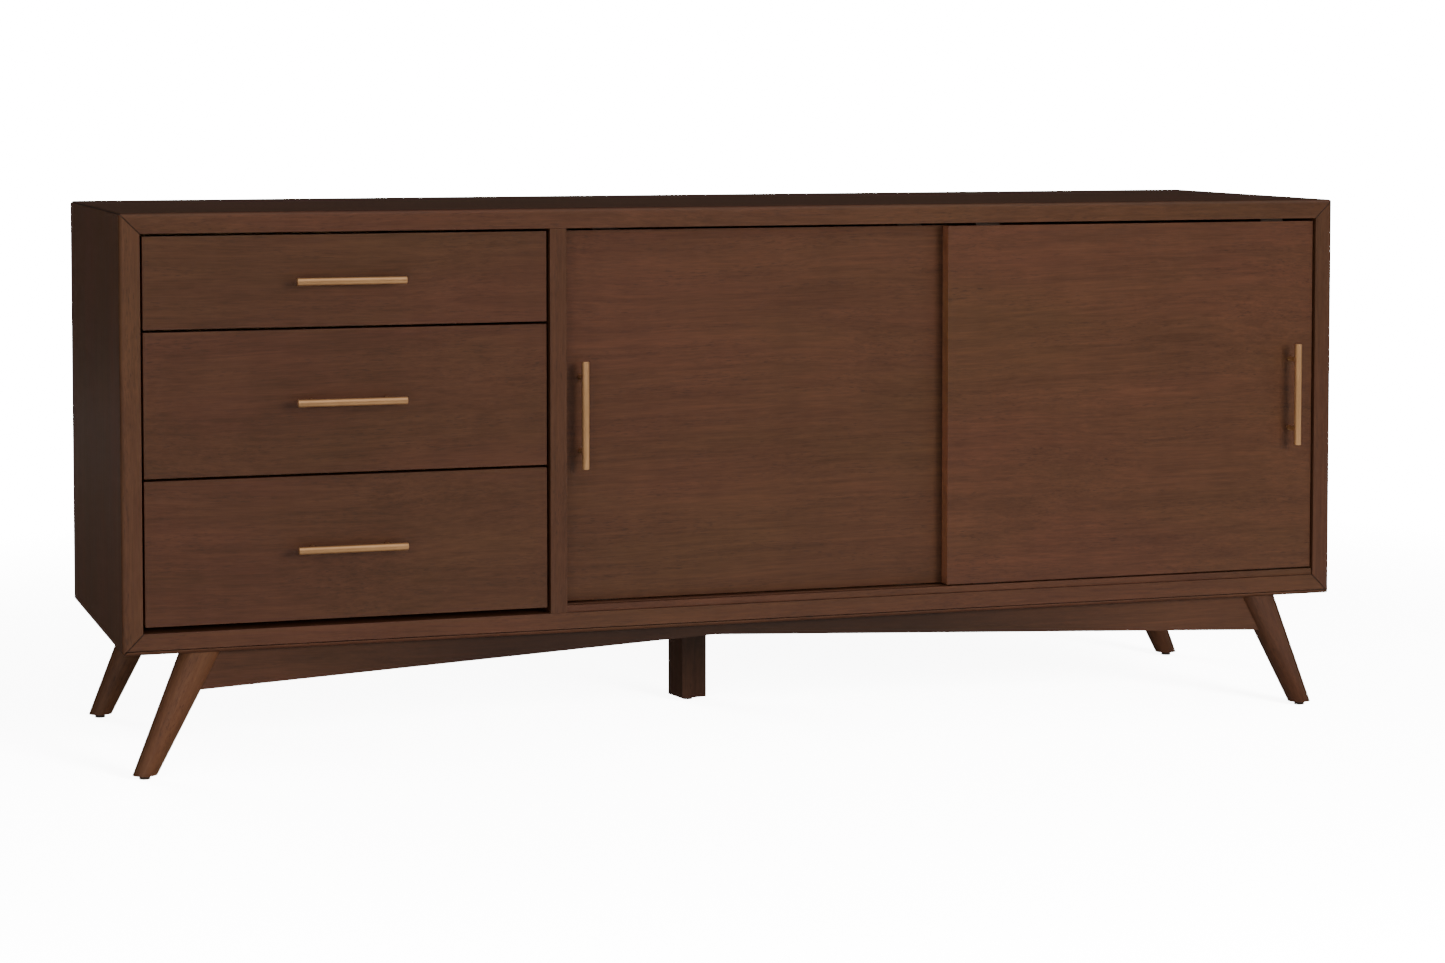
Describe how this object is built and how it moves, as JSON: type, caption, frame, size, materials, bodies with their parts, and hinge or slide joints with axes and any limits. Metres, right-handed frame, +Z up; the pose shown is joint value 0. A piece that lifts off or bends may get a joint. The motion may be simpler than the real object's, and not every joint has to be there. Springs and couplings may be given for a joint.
{
  "type": "sideboard buffet",
  "caption": "Low walnut sideboard with a stack of drawers beside two bypass sliding doors, in a mitred case on splayed tapered legs with brass bar pulls.",
  "frame": {"origin": "middle of the floor rectangle under the whole piece, handles included", "axes": "+X to the right along the width, seen from the front; +Y from the front to the back; +Z up"},
  "size_m": [1.676, 0.508, 0.711],
  "materials": {
    "walnut": "satin lacquer over a dark walnut stain",
    "walnut_inner": "satin lacquer over a dark walnut stain",
    "walnut_leg": "satin lacquer over a dark walnut stain",
    "drawer_wood": "clear satin lacquer",
    "back_board": "stained plywood",
    "brass": "brushed and lacquered",
    "steel": "zinc plated",
    "nylon": "moulded"
  },
  "bodies": {
    "case": {"top_panel": "walnut", "bottom_panel": "walnut", "left_side_panel": "walnut", "right_side_panel": "walnut", "drawer_divider": "walnut", "cupboard_partition": "walnut_inner", "back_panel": "back_board", "door_sill": "walnut", "left_shelf": "walnut_inner", "right_shelf": "walnut_inner", "shelf_pins": "steel", "case_slide_channels": "steel", "front_left_leg": "walnut_leg", "front_right_leg": "walnut_leg", "back_left_leg": "walnut_leg", "back_right_leg": "walnut_leg", "leg_plates": "steel", "leg_bolts": "steel", "leg_plate_screws": "steel", "foot_glides": "nylon", "front_apron": "walnut", "back_apron": "walnut", "centre_post": "walnut_leg", "underframe_screws": "steel"},
    "top_drawer": {"top_drawer_front": "walnut", "top_drawer_left_side": "drawer_wood", "top_drawer_right_side": "drawer_wood", "top_drawer_back": "drawer_wood", "top_drawer_bottom": "drawer_wood", "top_drawer_handle": "brass", "top_drawer_screws": "steel", "top_drawer_runners": "steel"},
    "top_slides": {"top_slide_middle": "steel"},
    "middle_drawer": {"middle_drawer_front": "walnut", "middle_drawer_left_side": "drawer_wood", "middle_drawer_right_side": "drawer_wood", "middle_drawer_back": "drawer_wood", "middle_drawer_bottom": "drawer_wood", "middle_drawer_handle": "brass", "middle_drawer_screws": "steel", "middle_drawer_runners": "steel"},
    "middle_slides": {"middle_slide_middle": "steel"},
    "bottom_drawer": {"bottom_drawer_front": "walnut", "bottom_drawer_left_side": "drawer_wood", "bottom_drawer_right_side": "drawer_wood", "bottom_drawer_back": "drawer_wood", "bottom_drawer_bottom": "drawer_wood", "bottom_drawer_handle": "brass", "bottom_drawer_screws": "steel", "bottom_drawer_runners": "steel"},
    "bottom_slides": {"bottom_slide_middle": "steel"},
    "left_door": {"left_door_panel": "walnut", "left_door_handle": "brass", "left_door_guides": "nylon", "left_door_screws": "steel"},
    "right_door": {"right_door_panel": "walnut", "right_door_handle": "brass", "right_door_guides": "nylon", "right_door_screws": "steel"}
  },
  "joints": [
    {"name": "top_drawer_slide", "type": "slide", "parent": "case", "child": "top_drawer", "axis": [0, -1, 0], "range_m": [0, 0.36]},
    {"name": "top_slides_slide", "type": "slide", "parent": "case", "child": "top_slides", "axis": [0, -1, 0], "range_m": [0, 0.18]},
    {"name": "middle_drawer_slide", "type": "slide", "parent": "case", "child": "middle_drawer", "axis": [0, -1, 0], "range_m": [0, 0.36]},
    {"name": "middle_slides_slide", "type": "slide", "parent": "case", "child": "middle_slides", "axis": [0, -1, 0], "range_m": [0, 0.18]},
    {"name": "bottom_drawer_slide", "type": "slide", "parent": "case", "child": "bottom_drawer", "axis": [0, -1, 0], "range_m": [0, 0.36]},
    {"name": "bottom_slides_slide", "type": "slide", "parent": "case", "child": "bottom_slides", "axis": [0, -1, 0], "range_m": [0, 0.18]},
    {"name": "left_door_slide", "type": "slide", "parent": "case", "child": "left_door", "axis": [1, 0, 0], "range_m": [0, 0.48]},
    {"name": "right_door_slide", "type": "slide", "parent": "case", "child": "right_door", "axis": [1, 0, 0], "range_m": [-0.48, 0]}
  ],
  "couplings": [
    {"joint": "top_slides_slide", "follows": "top_drawer_slide", "ratio": 0.5},
    {"joint": "middle_slides_slide", "follows": "middle_drawer_slide", "ratio": 0.5},
    {"joint": "bottom_slides_slide", "follows": "bottom_drawer_slide", "ratio": 0.5}
  ]
}
